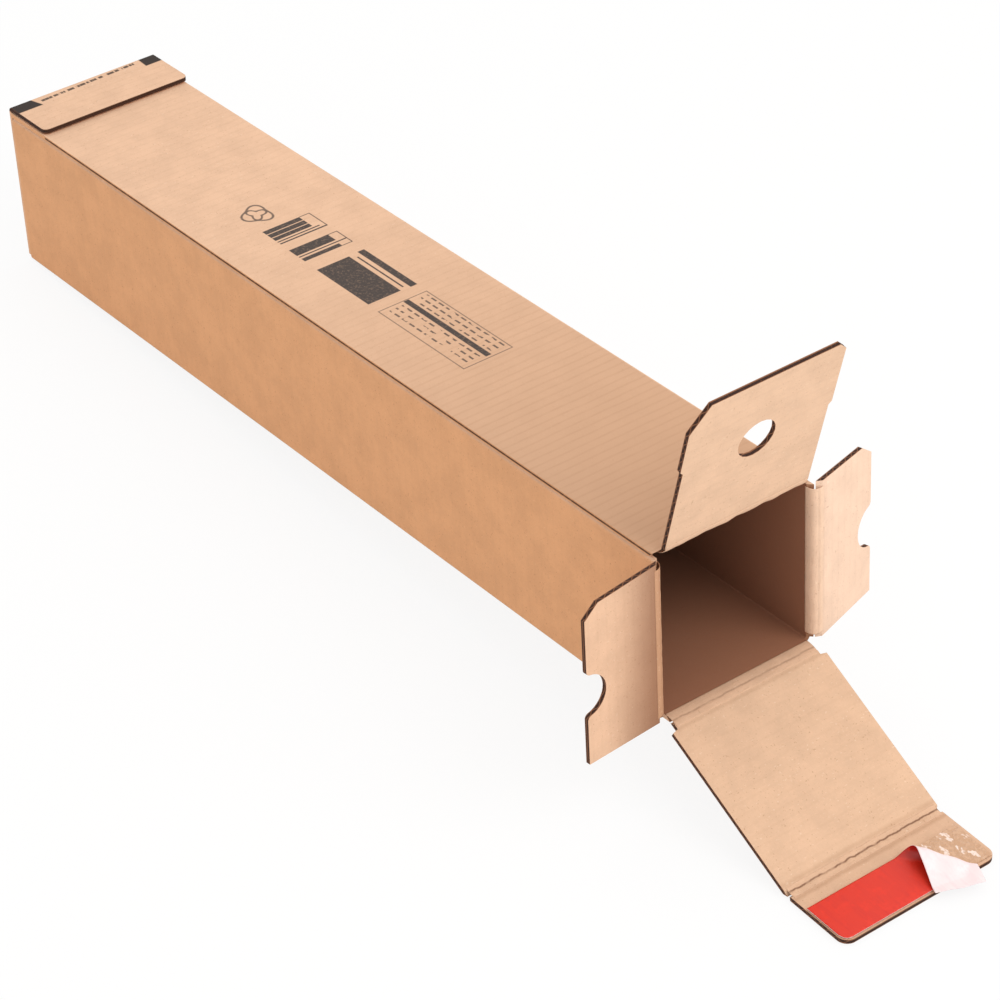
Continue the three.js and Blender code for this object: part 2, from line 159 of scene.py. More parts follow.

# What is left of a surface's own colour, channel by channel; the flute, top, curl and side wall tints
# are painted shade.
FIBRE_TINT = np.array((0.92, 0.87, 0.81))
FLUTE_SHADE_TINT = np.array((0.72, 0.62, 0.52))
SPECK_TINT = np.array((0.70, 0.58, 0.48))
TOP_SHADE_TINT = np.array((0.86, 0.82, 0.78))
CURL_SHADE_TINT = np.array((0.66, 0.45, 1.0))
SIDE_WALL_SHADE = (0.98, 0.78, 0.58)

BOARD_GLOSS = {"Roughness": 0.82, "Specular_IOR_Level": 0.25}
CREASE_GLOSS = {"Roughness": 0.84, "Specular_IOR_Level": 0.25}


def linear(color):
    """Scene linear values of an eight-bit screen colour."""
    c = np.asarray(color, float) / 255.0
    out = np.where(c <= 0.04045, c / 12.92, ((c + 0.055) / 1.055) ** 2.4)
    return (float(out[0]), float(out[1]), float(out[2]), 1.0)


class Field:
    """A value in a material; sums and products of fields become nodes."""

    def __init__(self, tree, socket):
        self.tree = tree
        self.socket = socket

    def node(self, kind, inputs, output=0, **settings):
        """Any node: inputs by name or index, then the output wanted."""
        node = self.tree.nodes.new(kind)
        for key, value in settings.items():
            setattr(node, key, value)
        for key, value in inputs.items():
            if isinstance(value, Field):
                self.tree.links.new(value.socket, node.inputs[key])
            else:
                node.inputs[key].default_value = value
        return Field(self.tree, node.outputs[output])

    def math(self, operation, *others):
        values = (self,) + others
        return self.node("ShaderNodeMath", dict(enumerate(values)), operation=operation)

    def __add__(self, other):
        return self.math("ADD", other)

    __radd__ = __add__

    def __sub__(self, other):
        return self.math("SUBTRACT", other)

    def __rsub__(self, other):
        return (self * -1.0) + other

    def __mul__(self, other):
        return self.math("MULTIPLY", other)

    __rmul__ = __mul__

    def __truediv__(self, other):
        return self.math("DIVIDE", other)

    def __abs__(self):
        return self.math("ABSOLUTE")

    def most(self, other):
        return self.math("MAXIMUM", other)

    def sine(self):
        return self.math("SINE")

    def ramp(self, low, high):
        """0 below low, 1 above high, smooth between."""
        ends = {"Value": self, "From Min": low, "From Max": high, "To Min": 0.0, "To Max": 1.0}
        return self.node("ShaderNodeMapRange", ends, interpolation_type="SMOOTHSTEP")

    def between(self, low, high, soft=0.35):
        """1 from low to high, with soft ends."""
        return self.ramp(low - soft, low + soft) * (1.0 - self.ramp(high - soft, high + soft))

    def dot(self, axis):
        vector = tuple(float(a) for a in axis)
        return self.node("ShaderNodeVectorMath", {0: self, 1: vector}, 1, operation="DOT_PRODUCT")

    def scaled(self, factors):
        return self.node("ShaderNodeVectorMath", {0: self, 1: factors}, operation="MULTIPLY")

    def noise(self, scale, detail=2.0, roughness=0.55):
        inputs = {"Vector": self, "Scale": scale, "Detail": detail, "Roughness": roughness}
        return self.node("ShaderNodeTexNoise", inputs)

    def mixed(self, first, second):
        """first where this is 0, second where it is 1; both are colours."""
        inputs = {0: self, 6: first, 7: second}
        return self.node("ShaderNodeMix", inputs, 2, data_type="RGBA")

    def bump(self, strength, depth):
        """A normal that follows this height, depth in metres."""
        inputs = {"Height": self, "Strength": strength, "Distance": depth}
        return self.node("ShaderNodeBump", inputs)


class Surface:
    """A new material with its shader and its object coordinates in millimetres."""

    def __init__(self, name, **constants):
        self.material = bpy.data.materials.new(name)
        self.material.use_nodes = True
        self.tree = self.material.node_tree
        self.shader = self.tree.nodes["Principled BSDF"]
        for key, value in constants.items():
            self.shader.inputs[key.replace("_", " ")].default_value = value
        where = self.tree.nodes.new("ShaderNodeTexCoord")
        self.coordinates = Field(self.tree, where.outputs["Object"])
        self.normal = Field(self.tree, where.outputs["Normal"])

    def local(self, place):
        """x, y and z in millimetres along a place's axes, and the vector of the three."""
        shift = tuple(-place.origin / 1000.0)
        moved = self.coordinates.node(
            "ShaderNodeVectorMath", {0: self.coordinates, 1: shift}, operation="ADD"
        )
        axes = [moved.dot(axis * 1000.0) for axis in (place.x, place.y, place.z)]
        joined = axes[0].node("ShaderNodeCombineXYZ", dict(enumerate(axes)))
        return axes[0], axes[1], axes[2], joined

    def put(self, **fields):
        for key, field in fields.items():
            self.tree.links.new(field.socket, self.shader.inputs[key.replace("_", " ")])
        return self.material


def board_fields(x, joined, tone, seed, lines=0.1):
    """Colour and height of kraft liner: faint clouds, fibres, specks, and the flutes below as a
    ripple in height with painted shade lines in colour.
    """
    shift = (seed, 2.0 * seed, 0.0)
    there = joined.node("ShaderNodeVectorMath", {0: joined, 1: shift}, operation="ADD")
    cloud = there.noise(0.05, 4.0, 0.65)
    fibre = there.scaled((0.35, 1.5, 1.0)).noise(1.0, 3.0, 0.7)
    grain = there.scaled((1.6, 0.6, 1.0)).noise(0.8, 3.0, 0.65)
    speck = there.noise(0.8, 1.0, 0.5).ramp(0.69, 0.74)
    pale = there.scaled((1.0, 0.5, 1.0)).noise(0.8, 1.0, 0.5).ramp(0.70, 0.76)
    wander = there.noise(0.03, 1.0) * 1.6
    wave = ((x + wander) * (2.0 * math.pi / FLUTE_PITCH)).sine()
    broken = there.scaled((0.6, 0.08, 1.0)).noise(1.0, 3.0, 0.7).ramp(0.3, 0.62) * 0.7 + 0.3
    line = wave.ramp(0.45, 1.0) * broken * lines
    light = np.asarray(tone, float)
    bright = np.minimum(light * 1.015 + 1, 255)
    color = cloud.ramp(0.3, 0.7).mixed(linear(light * 0.975), linear(bright))
    color = (fibre.ramp(0.5, 0.72) * 0.2).mixed(color, linear(light * FIBRE_TINT))
    color = (grain.ramp(0.5, 0.72) * 0.28).mixed(color, linear(np.minimum(light * 1.08, 255)))
    color = line.mixed(color, linear(light * FLUTE_SHADE_TINT))
    color = (speck * 0.35).mixed(color, linear(light * SPECK_TINT))
    color = (pale * 0.22).mixed(color, linear(PALE_FIBRE))
    height = wave * lines * -0.7 + fibre * 0.35 + cloud * 0.25 + grain * 0.2
    return color, height, there


def raw_edge(color, mask, x, depth, there):
    """The cut board: two liners, and between them the flutes' wave over channels painted dark as the
    shade in their hollows.
    """
    wave = (x * (2.0 * math.pi / FLUTE_PITCH)).sine() * 0.95 + BOARD / 2.0
    thread = 1.0 - abs(depth - wave).ramp(0.16, 0.42)
    torn = there.noise(0.7, 3.0, 0.7)
    core = thread.most(torn.ramp(0.52, 0.7) * 0.4).mixed(linear(CHANNEL_SHADE), linear(CUT_FLUTE))
    middle = depth.between(LINER_THICK, BOARD - LINER_THICK, 0.12)
    edge = middle.mixed(linear(CUT_LINER), core)
    return mask.mixed(color, edge)


def kraft_piece(name, place, tone, seed, dark_lines=(), shade=0.0):
    """Board of one flap: liners on both sides, raw edges where the face turns, darker lines near
    creases, and painted shade towards the crease when shade is given.
    """
    surface = Surface(name, **BOARD_GLOSS)
    x, y, z, joined = surface.local(place)
    color, height, there = board_fields(x, joined, tone, seed, 0.05)
    if shade:
        fall = 1.0 - (x + y * 0.08).ramp(2.0, 50.0)
        color = (fall * shade).mixed(color, linear(CREASE_SHADE))
    side = 1.0 - abs(surface.normal.dot(place.z)).ramp(0.35, 0.55)
    depth = z * -1.0 - AXIS_OUT
    # Darker lines along the creases, each at a place, with a width and an amount.
    for centre, width, amount in dark_lines:
        near = 1.0 - abs(x - centre + there.noise(0.15, 2.0) * 1.5 - 0.75).ramp(0.0, width)
        color = (near * amount).mixed(color, linear(DARK_LINE))
    color = raw_edge(color, side, x, depth, there)
    rough = there.noise(0.4, 2.0) * 0.12 + 0.74
    return surface.put(
        Base_Color=color, Roughness=rough, Normal=height.bump(0.5, 0.00012)
    )


# Printed fields on the top panel, in millimetres: along the tube from and to, across from and to.
INK_BLOCKS = (
    (247, 251.6, -20, 8),
    (252.4, 257.0, -20, 8),
    (257.8, 261.8, -20, 8),
    (263.4, 264.6, -20, 12),
    (266.2, 267.6, -20, 16),
    (246.8, 247.5, 8, 16),
    (246.8, 267.6, 15.3, 16),
    (277, 286, -20.5, 9),
    (287.6, 288.8, -20.5, 16),
    (290.6, 294.6, -20.5, 8),
    (277, 277.7, 8, 16),
    (277, 294.6, 15.3, 16),
    (293.9, 294.6, 8, 16),
    (308, 362.5, -21, 3.4),
    (307, 363, 10.5, 15.5),
    (312, 360, 6.4, 7.6),
    (374, 457, -3.2, 0.8),
)
RULED_FIELD = (373.0, 459.5, -21.7, 15.2)
RULED_LINE = 0.8
ROW_PITCH = 4.6
DASH_PITCH = 7.5
KNOT_AT = (226.0, -10.0)
KNOT_SIZE = (12.6, 11.2)


def printed(color, x, y, there, ink):
    """Lays the top panel's ink over a colour: bars, panels, a ruled field and a knot sign."""
    rub_and_highlight = there.noise(0.55, 3.0, 0.7).ramp(0.3, 0.52) * 0.14 + 0.82
    mask = None
    for low, high, left, right in INK_BLOCKS:
        soft = min(0.3, (high - low) / 2.2)
        block = x.between(low, high, soft) * y.between(left, right, 0.3)
        mask = block if mask is None else mask.most(block)
    knot_y = (y - KNOT_AT[1]) / KNOT_SIZE[1]
    knot_x = (x - KNOT_AT[0]) / KNOT_SIZE[0]
    radius = (knot_x * knot_x + knot_y * knot_y).math("SQRT")
    turn = knot_y.math("ARCTAN2", knot_x)
    lobes = (turn * 3.0).sine()
    outer_ring = (radius - lobes * 0.14).between(0.72, 0.86, 0.04)
    inner_ring = (radius + lobes * 0.16).between(0.38, 0.54, 0.04)
    mask = mask.most(outer_ring * 0.85).most(inner_ring * 0.85)
    low, high, left, right = RULED_FIELD
    whole = x.between(low, high, 0.2) * y.between(left, right, 0.2)
    across = y.between(left + RULED_LINE, right - RULED_LINE, 0.2)
    middle = x.between(low + RULED_LINE, high - RULED_LINE, 0.2) * across
    mask = mask.most((whole - middle) * 0.7)
    rows = ((y + 21.0) * (2.0 * math.pi / ROW_PITCH)).sine().ramp(0.45, 0.7)
    length = there.scaled((0.09, 0.22, 0.0)).noise(1.0, 1.0, 0.4)
    dashes = (x * (2.0 * math.pi / DASH_PITCH)).sine().ramp(-0.6, -0.4) * length.ramp(0.42, 0.46)
    inside = x.between(377, 455, 0.3) * y.between(-19, 13, 0.3) * (1.0 - y.between(-5.0, 2.6, 0.2))
    mask = mask.most(rows * dashes * inside * 0.85)
    return (mask * rub_and_highlight).mixed(color, linear(ink))


def corner_marks(color, x, y, there):
    """The far tongue's two dark corner blocks and the broken row between them."""
    left = x.between(-2, 13.8, 0.4) * (y * -1.0 + x * 0.3).between(42.0, 70, 0.5)
    right = x.between(-2, 13.8, 0.4) * (y + x * 0.06).between(44.6, 70, 0.5)
    row = (x + y * 0.042).between(5.8, 8.5, 0.3) * y.between(-36, 39, 0.3)
    marks = there.scaled((0.0, 0.22, 0.0)).noise(1.0, 2.0, 0.7).ramp(0.44, 0.50)
    return (left.most(right) * 0.97).most(row * marks * 0.85).mixed(color, linear(CORNER_INK))


def tube_material(tone, ink):
    """The tube: liner on four walls, painted shade inside, on the side walls, over the top and at the
    far tongue, raw board at cut edges, ink on top.
    """
    surface = Surface("tube board", **BOARD_GLOSS)
    x, y, z, joined = surface.local(TUBE)
    upper = z.ramp(HEIGHT - 0.4, HEIGHT - 0.2)
    # Flute lines, stronger on the top towards the mouth: a ripple in height, and painted shade in
    # colour.
    strong = upper * (x.ramp(300.0, 640.0) * 0.34 + 0.04) + 0.03
    color, height, there = board_fields(x, joined, tone, 5.0, strong)
    # Painted shade: the top panel darkens towards the mouth.
    top_shade = upper * x.ramp(180.0, 620.0) * 0.8
    color = top_shade.mixed(color, linear(tone * TOP_SHADE_TINT))
    facing_x = abs(surface.normal.dot(TUBE.x)).ramp(0.55, 0.75)
    facing_y = abs(surface.normal.dot(TUBE.y)).ramp(0.55, 0.75)
    facing_z = surface.normal.dot(TUBE.z).ramp(0.55, 0.75)
    top_face = facing_z * upper * (1.0 - z.ramp(HEIGHT + 1.0, HEIGHT + 1.3))
    color = top_face.mixed(color, printed(color, x, y, there, ink))
    far_tongue = z.ramp(HEIGHT + 0.4, HEIGHT + 0.7)
    color = far_tongue.mixed(color, corner_marks(color, x, y, there))
    wall_face = HALF - BOARD
    ceiling = HEIGHT - BOARD
    inside = 1.0 - abs(y).ramp(wall_face + 0.05, wall_face + 0.15)
    inside = inside * z.ramp(BOARD - 0.15, BOARD - 0.05)
    inside = inside * (1.0 - z.ramp(ceiling + 0.05, ceiling + 0.15)) * x.ramp(1.0, 2.0)
    # Painted shade inside the tube, darkest far from the mouth and lighter towards it.
    deep = (x / LENGTH).ramp(0.55, 1.0)
    shadowed = deep.mixed(linear(DEEP_INSIDE_SHADE), linear(MOUTH_INSIDE_SHADE))
    color = (inside * 0.92).mixed(color, shadowed)
    # Painted shade: the side walls made darker and more orange.
    shaded_walls = abs(y).ramp(HALF - 1.0, HALF) * facing_y
    color = shaded_walls.mixed(color, color.scaled(SIDE_WALL_SHADE))
    seam = z.between(HEIGHT - 2.2, HEIGHT - 0.8, 0.2) * x.between(46.0, LENGTH - 4.0, 1.0)
    seam = seam * (1.0 - y.ramp(1.4 - HALF, 1.8 - HALF))
    uneven = there.noise(0.3, 2.0).ramp(0.25, 0.5) * 0.25 + 0.72
    color = (seam * uneven).mixed(color, linear(SEAM_SHADE))
    corner = abs(y).between(HALF - 1.6, HALF + 0.3, 0.3) * z.between(-1.0, 2.2, 0.4)
    scuff = there.scaled((0.12, 1.0, 1.0)).noise(0.6, 3.0, 0.7).ramp(0.45, 0.6)
    color = (corner * scuff * 0.35).mixed(color, linear(SCUFF))
    lifted = z.ramp(HEIGHT + 0.15, HEIGHT + 0.3) * (1.0 - z.ramp(HEIGHT + 0.75, HEIGHT + 0.9))
    end_edge = facing_x * x.ramp(2.0, 3.0) * (1.0 - z.between(HEIGHT - 0.05, HEIGHT + 0.5, 0.05))
    lip_edge = facing_y * z.ramp(HEIGHT + 0.5, HEIGHT + 0.7)
    lap_edge = facing_y * inside * abs(y).between(0.0, 53.0, 0.1)
    depth = (z - (HEIGHT + 0.9)).ramp(0.0, BOARD) * BOARD
    mask = end_edge.most(lip_edge).most(lap_edge)
    color = raw_edge(color, mask, x, depth, there)
    # Painted shade: the far tongue's cut edges are made darker.
    far_end = 1.0 - x.ramp(100.0, 120.0)
    shaded_ends = (end_edge * z.ramp(HEIGHT + 0.2, HEIGHT + 0.4) * far_end).most(lip_edge)
    color = (shaded_ends * 0.72).mixed(color, linear(END_SHADE))
    # Painted shadow: the gap under the lifted far tongue.
    color = (lifted * x.ramp(1.0, 2.0)).mixed(color, linear(UNDER_TONGUE_SHADOW))
    rough = there.noise(0.4, 2.0) * 0.12 + 0.74
    return surface.put(
        Base_Color=color, Roughness=rough, Normal=height.bump(0.5, 0.00012)
    )


def crease_material(name, place, tone, seed, dark):
    """Crushed liner: the board's colour with finer cracks along the crease, and a groove with painted
    shade along the fold.
    """
    surface = Surface(name, **CREASE_GLOSS)
    x, _, _, joined = surface.local(place)
    color, height, there = board_fields(x, joined, tone, seed)
    crack = there.scaled((1.2, 0.12, 1.2)).noise(1.0, 3.0, 0.65)
    color = (crack.ramp(0.5, 0.7) * 0.2).mixed(color, linear(CRACK))
    stray = there.scaled((0.0, 1.0, 0.0)).noise(0.07, 4.0, 0.7) * 2.6 - 1.3
    # A groove along the fold, with painted shade in colour.
    fold_groove_and_shade = 1.0 - abs(x - 0.4 + stray).ramp(0.15, 0.9)
    fold_groove_and_shade = fold_groove_and_shade * dark * (there.noise(0.12, 2.0).ramp(0.3, 0.55) * 0.6 + 0.4)
    color = fold_groove_and_shade.mixed(color, linear(FOLD_SHADE))
    height = height + crack * 0.6 - fold_groove_and_shade * 0.8
    return surface.put(Base_Color=color, Normal=height.bump(0.6, 0.0002))


def glue_material():
    """Adhesive: pale, glossy, with thick and thin patches."""
    surface = Surface("adhesive")
    joined = surface.local(LIP)[3]
    patch = joined.noise(0.35, 3.0, 0.6)
    fine = joined.noise(1.4, 2.0, 0.6)
    spot = joined.scaled((0.6, 1.0, 1.0)).noise(0.2, 2.0, 0.6).ramp(0.60, 0.66)
    color = patch.ramp(0.4, 0.62).mixed(linear(GLUE_THIN), linear(GLUE_THICK))
    color = (spot * 0.8).mixed(color, linear(GLUE_WHITE))
    height = patch.ramp(0.4, 0.65) + fine * 0.25
    return surface.put(
        Base_Color=color, Roughness=patch * -0.3 + 0.45, Normal=height.bump(0.7, 0.0004)
    )


def film_material(name, tone, shade, rough, curl=0.0):
    """Cover strip: one side's colour with creases, a faint sheen, pressed fibres, and painted shade
    and highlights on its rolled corner.
    """
    surface = Surface(name)
    _, y, z, joined = surface.local(LIP)
    streak = joined.scaled((0.12, 1.0, 1.0)).noise(0.35, 3.0, 0.6)
    cloud = joined.noise(0.12, 3.0, 0.6)
    fine = joined.noise(1.8, 2.0, 0.6)
    color = (streak.ramp(0.4, 0.8) * 0.5).mixed(linear(tone), linear(shade))
    base = np.asarray(tone, float)
    color = (cloud.ramp(0.5, 0.7) * 0.4).mixed(color, linear(np.minimum(base * 1.06 + 6, 255)))
    # Painted shade on the rolled-over corner, with painted highlights streaked through it.
    curl_shade = (y * -1.0).ramp(-6.0, 17.0) * (z * -1.0).ramp(4.0, 5.5) * curl
    rub_and_highlight = joined.scaled((1.4, 0.25, 1.0)).noise(0.4, 3.0, 0.7).ramp(0.58, 0.70) * curl_shade
    color = curl_shade.mixed(color, linear(base * CURL_SHADE_TINT))
    color = (rub_and_highlight * 0.8).mixed(color, linear(np.minimum(base * 1.25 + 10, 255)))
    height = streak * 0.4 + fine * 0.15
    return surface.put(
        Base_Color=color, Roughness=cloud * 0.25 + (rough - 0.1), Normal=height.bump(0.6, 0.0003)
    )


def grid_mesh(name, points):
    """A mesh of quads through a grid of points, rows by columns by 3, in metres."""
    rows, columns = points.shape[:2]
    index = np.arange(rows * columns).reshape(rows, columns)
    corners = (index[:-1, :-1], index[1:, :-1], index[1:, 1:], index[:-1, 1:])
    quads = np.stack(corners, -1).reshape(-1, 4)
    mesh = bpy.data.meshes.new(name)
    mesh.from_pydata(points.reshape(-1, 3), [], quads.tolist())
    mesh.polygons.foreach_set("use_smooth", np.full(len(mesh.polygons), True))
    mesh.update()
    obj = bpy.data.objects.new(name, mesh)
    bpy.context.scene.collection.objects.link(obj)
    return obj


def crease_skin(name, flap, panel, low, high, ripple, seed):
    """Liner bent over one crease: a quadratic curve from the panel's inner face to the
    flap's, through the corner where the two faces would meet, swept along the crease with
    small waves where the board was crushed."""
    below = -AXIS_OUT - BOARD - SKIN_LIFT
    angle = math.acos(float(np.clip(panel.x @ flap.x, -1.0, 1.0)))
    turn = 1.0 if float(flap.x @ panel.z) > 0 else -1.0
    reach = below * -1.0 * math.tan(angle / 2.0) * turn
    t = np.linspace(0.0, 1.0, 21)[:, None]
    y = np.linspace(low, high, 141)[None, :]
    start = panel.at(-SKIN_REACH, 0, below)
    corner = panel.at(reach, 0, below)
    end = flap.at(SKIN_REACH, 0, below)
    curve = (1 - t) ** 2 * start + 2 * t * (1 - t) * corner + t**2 * end
    way = panel.y / 1000.0
    rng = np.random.default_rng(seed)
    wave = np.zeros_like(y)
    for _ in range(6):
        wave = wave + rng.uniform(0.3, 1.0) * np.sin(y * rng.uniform(0.12, 0.9) + rng.uniform(0, 6.3))
    bulge = (4 * t * (1 - t)) ** 2 * wave * ripple / 1000.0
    out = -(panel.z + flap.z)
    out = out / np.linalg.norm(out)
    points = curve[:, None, :] + y[..., None] * way + bulge[..., None] * out
    obj = grid_mesh(name, points)
    return obj, start, end


def peeled(x, y, back=15.0, front=37.0, big=6.2, small=2.0):
    """Where a point of the flat cover strip lies once its corner is rolled over a cone along
    a slanted line: an arc round the cone, then a flat run that sinks back to the strip."""
    ends = np.array((STICKY_TO - STICKY_FROM, front - back))
    size = np.hypot(*ends)
    line = ends / size
    off_x = x - STICKY_FROM
    off_y = y - back
    along = np.clip(off_x * line[0] + off_y * line[1], 0, size)
    radius = big + (small - big) * along / size
    past = off_x * -line[1] + off_y * line[0] + radius
    turn = np.minimum(past / radius, math.pi)
    rest = np.maximum(past - math.pi * radius, 0.0)
    shift = radius * np.sin(turn) - past - rest
    rise = radius * (1 - np.cos(turn))
    rise = rise - np.minimum(rest * 0.3, np.maximum(rise - 1.6, 0.0))
    shift = np.where(past > 0, shift, 0.0)
    rise = np.where(past > 0, rise, 0.0)
    return x - line[1] * shift, y + line[0] * shift, rise


def cover_points():
    """The cover strip's points: a flat strip cut round the tongue's corner, with its other
    corner rolled over, and with a faint wave where it is loose."""
    left = STICKY_HALF + OVER_SIDE
    y = -left + (left + STICKY_HALF) * np.linspace(0, 1, 281)[None, :] ** 0.8
    near_end = np.clip((TONGUE_CORNER - (y + left)) / TONGUE_CORNER, 0.0, 1.0)
    front = STICKY_TO + OVER_FRONT - TONGUE_CORNER * (1.0 - np.sqrt(1.0 - near_end**2))
    x = STICKY_FROM + (front - STICKY_FROM) * np.linspace(0, 1, 41)[:, None]
    y = np.broadcast_to(y, x.shape)
    a, b, rise = peeled(x, y)
    loose = np.clip(rise / 3.0, 0.0, 1.0)
    rise = rise + loose * 0.35 * np.sin(x * 0.35 + y * 0.22)
    lift = -(AXIS_OUT + BOARD + GAP + GLUE + GAP + FILM_LIFT)
    return LIP.at(a, -b, lift - rise)


def thicken(obj, thickness):
    """Gives a sheet its thickness in millimetres, half of it on either side."""
    thick = obj.modifiers.new("Thickness", "SOLIDIFY")
    thick.thickness = thickness / 1000.0
    thick.offset = 0.0
    return thick


class BoxLook(bpy.types.PropertyGroup):
    liner: FloatVectorProperty(
        name="Liner", description="Colour of the kraft liner", subtype="COLOR", size=3,
        min=0.0, max=1.0, default=linear(LINER)[:3],
    )
    ink: FloatVectorProperty(
        name="Ink", description="Colour of the printing on the top panel", subtype="COLOR", size=3,
        min=0.0, max=1.0, default=linear(INK)[:3],
    )
    film: FloatVectorProperty(
        name="Cover strip", description="Colour of the cover strip's face", subtype="COLOR", size=3,
        min=0.0, max=1.0, default=linear(FILM_RED)[:3],
    )
    ripple: FloatProperty(
        name="Ripple", description="Height of the waves along a crease", default=0.0001,
        min=0.0, max=0.001, unit="LENGTH",
    )


class StageLook(bpy.types.PropertyGroup):
    key: FloatProperty(
        name="Key light", description="Power of the large soft light", default=17.0,
        min=0.0, max=500.0, unit="POWER",
    )
    fill: FloatProperty(
        name="Surround", description="Strength of the even light all round", default=0.92,
        min=0.0, max=5.0,
    )


def screen(color):
    """Eight-bit screen values of a linear colour."""
    c = np.asarray(color, float)
    out = np.where(c <= 0.0031308, c * 12.92, 1.055 * c ** (1 / 2.4) - 0.055)
    return out * 255.0


def show(node, material):
    """Gives a model node its material."""
    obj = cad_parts[node]
    obj.data.materials.clear()
    obj.data.materials.append(material)


class TUBEBOX_OT_tube(bpy.types.Operator):
    """Board of the tube and the adhesive under its far tongue"""

    bl_idname = "tubebox.tube"
    bl_label = "Tube"

    def execute(self, context):
        look = context.scene.box_look
        show("tube_body", tube_material(screen(look.liner), screen(look.ink)))
        show("far_adhesive_strip", glue_material())
        return {"FINISHED"}


class TUBEBOX_OT_flaps(bpy.types.Operator):
    """Board of the four flaps and the closing tongue"""

    bl_idname = "tubebox.flaps"
    bl_label = "Flaps"

    def execute(self, context):
        tone = screen(context.scene.box_look.liner)
        # Node, its axes, lightness as painted light and shade, seed, and darker lines as place, width
        # and amount.
        places = (
            ("inner_flap", INNER, (1.0, 1.02, 1.03), 11.0, ((5.0, 2.0, 0.1),)),
            ("left_side_flap", LEFT, (1.0, 1.0, 1.0), 23.0, ()),
            ("right_side_flap", RIGHT, (1.05, 1.1, 1.16), 37.0, ((5.0, 2.0, 0.1),)),
            ("outer_flap", OUTER, (0.97, 0.98, 0.98), 51.0, ((6.0, 2.0, 0.2), (112.0, 2.5, 0.2))),
            ("closing_tongue", LIP, (0.95, 0.95, 0.95), 67.0, ((6.0, 2.5, 0.3),)),
        )
        for node, place, painted_lighting, seed, dark_lines in places:
            shade = 0.8 if node == "left_side_flap" else 0.0
            light = tone * np.array(painted_lighting)
            show(node, kraft_piece(node + " board", place, light, seed, dark_lines, shade))
        return {"FINISHED"}


class TUBEBOX_OT_creases(bpy.types.Operator):
    """Liner that runs over the five creases"""

    bl_idname = "tubebox.creases"
    bl_label = "Creases"

    def execute(self, context):
        tone = screen(context.scene.box_look.liner)
        ripple = context.scene.box_look.ripple * 1000.0
        # Name, flap, panel, from and to along the crease, waves, darkness of the fold's painted
        # shade, lightness as painted light and shade.
        creases = (
            ("inner", INNER, INNER_PANEL, -51.0, 51.0, 1.6, 0.1, (1.0, 1.02, 1.03)),
            ("left", LEFT, LEFT_PANEL, 7.0, 108.0, 0.35, 0.1, (0.86, 0.80, 0.75)),
            ("right", RIGHT, RIGHT_PANEL, -108.0, -7.0, 0.35, 0.1, (1.04, 1.08, 1.12)),
            ("outer", OUTER, OUTER_PANEL, -52.6, 52.6, 1.0, 0.35, (0.96, 0.96, 0.96)),
            ("tongue", LIP, OUTER_AT_LIP, -55.2, 55.2, 2.5, 0.8, (0.96, 0.96, 0.96)),
        )
        for seed, (which, flap, panel, low, high, waves, dark, light) in enumerate(creases):
            name = which + "_crease_liner"
            obj, start, end = crease_skin(name, flap, panel, low, high, ripple * waves, seed + 3)
            thicken(obj, SKIN_THICK)
            shade = tone * np.array(light)
            board = crease_material(name + " board", flap, shade, seed * 7.0, dark)
            obj.data.materials.append(board)
            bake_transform(obj)
        return {"FINISHED"}


class TUBEBOX_OT_cover(bpy.types.Operator):
    """Adhesive on the tongue and the cover strip: a sheet rolled over a cone at one corner"""

    bl_idname = "tubebox.cover"
    bl_label = "Cover strip"

    def execute(self, context):
        show("adhesive_strip", glue_material())
        obj = grid_mesh("cover_ribbon", cover_points())
        thick = thicken(obj, FILM_THICK)
        thick.material_offset = 1
        thick.material_offset_rim = 1
        red = screen(context.scene.box_look.film)
        face = film_material("cover strip face", red, FILM_RED_CREASE, 0.4, 0.6)
        back = film_material("cover strip back", FILM_BACK, FILM_BACK_CREASE, 0.5)
        obj.data.materials.append(face)
        obj.data.materials.append(back)
        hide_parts("cover_strip")
        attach(obj, "tongue_body")
        return {"FINISHED"}


# The stage, in metres and degrees.
FLOOR_HALF = 6.0
FLOOR_LEVEL = -0.0008
FLOOR_COLOR = (0.86, 0.86, 0.86, 1.0)
FLOOR_WHITE = 0.88
SKY_COLOR = (1.0, 0.985, 0.965, 1.0)
WHITE = (1.0, 1.0, 1.0, 1.0)
CAMERA_AZIMUTH = -37.52
CAMERA_ELEVATION = 37.96
CAMERA_AT = (1.3901, -1.0372, 1.3743)
CAMERA_LENS = 128.3


def seen_share(tree, share):
    """A socket that is share for camera, glossy and transmission rays, and 0 for the rest."""
    path = tree.nodes.new("ShaderNodeLightPath")
    kinds = ("Is Camera Ray", "Is Glossy Ray", "Is Transmission Ray")
    camera, glossy, through = (Field(tree, path.outputs[kind]) for kind in kinds)
    return (camera.most(glossy).most(through) * share).socket


def floor_paint():
    """Pale paint, nearly white to the camera, that still takes the box's shadow."""
    paint = bpy.data.materials.new("floor paint")
    paint.use_nodes = True
    tree = paint.node_tree
    shader = tree.nodes["Principled BSDF"]
    shader.inputs["Base Color"].default_value = FLOOR_COLOR
    shader.inputs["Roughness"].default_value = 0.9
    white = tree.nodes.new("ShaderNodeEmission")
    white.inputs["Color"].default_value = WHITE
    white.inputs["Strength"].default_value = 1.0
    mix = tree.nodes.new("ShaderNodeMixShader")
    tree.links.new(seen_share(tree, FLOOR_WHITE), mix.inputs[0])
    tree.links.new(shader.outputs[0], mix.inputs[1])
    tree.links.new(white.outputs[0], mix.inputs[2])
    tree.links.new(mix.outputs[0], tree.nodes["Material Output"].inputs["Surface"])
    return paint


